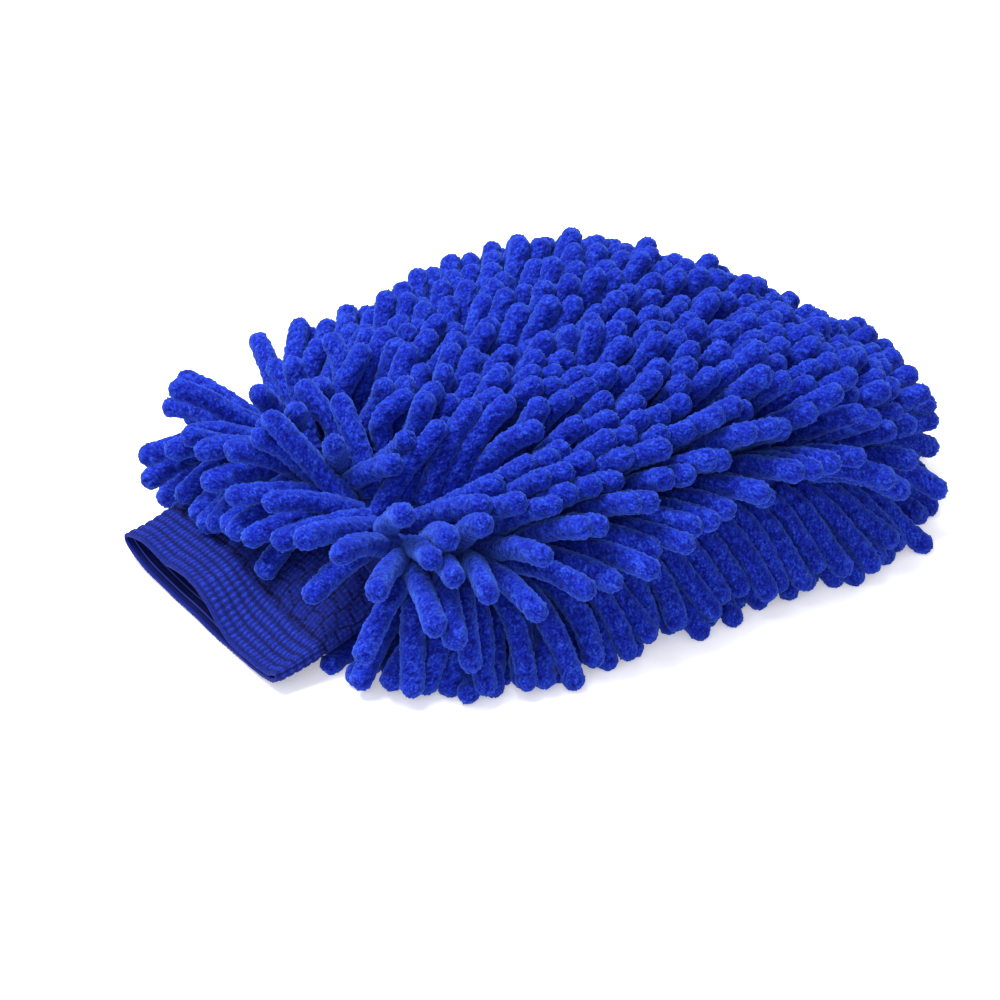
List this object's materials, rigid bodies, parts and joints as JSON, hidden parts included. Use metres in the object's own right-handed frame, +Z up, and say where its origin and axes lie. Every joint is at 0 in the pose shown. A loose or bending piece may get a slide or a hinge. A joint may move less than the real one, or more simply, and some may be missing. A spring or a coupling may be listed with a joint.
{
  "type": "wash mitt",
  "caption": "Hand mitt for washing cars: a sewn pocket covered in rows of thick chenille noodles, with a ribbed elastic knit cuff that is open for the hand.",
  "frame": {"origin": "on the surface the mitt lies on, under the middle of the whole mitt", "axes": "+X from the cuff to the fingertips, +Y across the mitt, +Z up"},
  "size_m": [0.2803, 0.2032, 0.0838],
  "materials": {
    "chenille": "velvety microfibre chenille pile",
    "backing": "tufted knitted base cloth",
    "liner": "smooth woven lining",
    "thread": "sewing thread",
    "cuff_knit": "ribbed elastic knit",
    "elastic": "covered elastic thread"
  },
  "bodies": {
    "mitt_body": {"upper_backing": "backing", "lower_backing": "backing", "upper_liner": "liner", "lower_liner": "liner", "seam_allowance": "backing", "overlock_thread": "thread", "wrist_seam": "thread", "right_top_row": "chenille", "right_high_row": "chenille", "right_middle_row": "chenille", "right_low_row": "chenille", "left_top_row": "chenille", "left_high_row": "chenille", "left_middle_row": "chenille", "left_low_row": "chenille", "fingertip_top_row": "chenille", "fingertip_high_row": "chenille", "fingertip_middle_row": "chenille", "fingertip_low_row": "chenille", "lower_row_1": "chenille", "lower_row_2": "chenille", "lower_row_3": "chenille", "lower_row_4": "chenille", "lower_row_5": "chenille", "lower_row_6": "chenille", "lower_row_7": "chenille", "lower_row_8": "chenille", "lower_row_9": "chenille"},
    "cuff_lower": {"cuff_knit_lower": "cuff_knit", "cuff_welt_lower": "cuff_knit", "cuff_elastic_lower": "elastic", "cuff_lip_lower": "cuff_knit"},
    "cuff_upper": {"cuff_knit_upper": "cuff_knit", "cuff_welt_upper": "cuff_knit", "cuff_elastic_upper": "elastic", "cuff_lip_upper": "cuff_knit"},
    "cuff_end_pile": {"cuff_end_row": "chenille"},
    "upper_row_1_pile": {"upper_row_1": "chenille"},
    "upper_row_2_pile": {"upper_row_2": "chenille"},
    "upper_row_3_pile": {"upper_row_3": "chenille"},
    "upper_row_4_pile": {"upper_row_4": "chenille"},
    "upper_row_5_pile": {"upper_row_5": "chenille"},
    "upper_row_6_pile": {"upper_row_6": "chenille"},
    "upper_row_7_pile": {"upper_row_7": "chenille"},
    "upper_row_8_pile": {"upper_row_8": "chenille"},
    "upper_row_9_pile": {"upper_row_9": "chenille"}
  },
  "joints": [
    {"name": "wrist_fold", "type": "hinge", "parent": "mitt_body", "child": "cuff_lower", "pos_m": [-0.0905, 0, 0.0335], "axis": [0, 1, 0], "range_deg": [-12, 55]},
    {"name": "cuff_mouth_open", "type": "hinge", "parent": "cuff_lower", "child": "cuff_upper", "pos_m": [-0.0905, 0, 0.0335], "axis": [0, 1, 0], "range_deg": [0, 12], "stiffness_Nm_per_rad": 0.05},
    {"name": "cuff_end_pile_lift", "type": "hinge", "parent": "mitt_body", "child": "cuff_end_pile", "pos_m": [-0.0915, 0, 0.0553], "axis": [0, 1, 0], "range_deg": [-12, 55]},
    {"name": "upper_row_1_sway", "type": "hinge", "parent": "mitt_body", "child": "upper_row_1_pile", "pos_m": [0, -0.048, 0.05405], "axis": [1, 0, 0], "range_deg": [-12, 12], "stiffness_Nm_per_rad": 0.02},
    {"name": "upper_row_2_sway", "type": "hinge", "parent": "mitt_body", "child": "upper_row_2_pile", "pos_m": [0, -0.036, 0.05405], "axis": [1, 0, 0], "range_deg": [-12, 12], "stiffness_Nm_per_rad": 0.02},
    {"name": "upper_row_3_sway", "type": "hinge", "parent": "mitt_body", "child": "upper_row_3_pile", "pos_m": [0, -0.024, 0.05405], "axis": [1, 0, 0], "range_deg": [-12, 12], "stiffness_Nm_per_rad": 0.02},
    {"name": "upper_row_4_sway", "type": "hinge", "parent": "mitt_body", "child": "upper_row_4_pile", "pos_m": [0, -0.012, 0.05405], "axis": [1, 0, 0], "range_deg": [-12, 12], "stiffness_Nm_per_rad": 0.02},
    {"name": "upper_row_5_sway", "type": "hinge", "parent": "mitt_body", "child": "upper_row_5_pile", "pos_m": [0, 0, 0.05405], "axis": [1, 0, 0], "range_deg": [-12, 12], "stiffness_Nm_per_rad": 0.02},
    {"name": "upper_row_6_sway", "type": "hinge", "parent": "mitt_body", "child": "upper_row_6_pile", "pos_m": [0, 0.012, 0.05405], "axis": [1, 0, 0], "range_deg": [-12, 12], "stiffness_Nm_per_rad": 0.02},
    {"name": "upper_row_7_sway", "type": "hinge", "parent": "mitt_body", "child": "upper_row_7_pile", "pos_m": [0, 0.024, 0.05405], "axis": [1, 0, 0], "range_deg": [-12, 12], "stiffness_Nm_per_rad": 0.02},
    {"name": "upper_row_8_sway", "type": "hinge", "parent": "mitt_body", "child": "upper_row_8_pile", "pos_m": [0, 0.036, 0.05405], "axis": [1, 0, 0], "range_deg": [-12, 12], "stiffness_Nm_per_rad": 0.02},
    {"name": "upper_row_9_sway", "type": "hinge", "parent": "mitt_body", "child": "upper_row_9_pile", "pos_m": [0, 0.048, 0.05405], "axis": [1, 0, 0], "range_deg": [-12, 12], "stiffness_Nm_per_rad": 0.02}
  ],
  "couplings": [
    {"joint": "cuff_end_pile_lift", "follows": "wrist_fold", "ratio": 1},
    {"joint": "upper_row_1_sway", "follows": "upper_row_5_sway", "ratio": 1},
    {"joint": "upper_row_2_sway", "follows": "upper_row_5_sway", "ratio": 1},
    {"joint": "upper_row_3_sway", "follows": "upper_row_5_sway", "ratio": 1},
    {"joint": "upper_row_4_sway", "follows": "upper_row_5_sway", "ratio": 1},
    {"joint": "upper_row_6_sway", "follows": "upper_row_5_sway", "ratio": 1},
    {"joint": "upper_row_7_sway", "follows": "upper_row_5_sway", "ratio": 1},
    {"joint": "upper_row_8_sway", "follows": "upper_row_5_sway", "ratio": 1},
    {"joint": "upper_row_9_sway", "follows": "upper_row_5_sway", "ratio": 1}
  ]
}
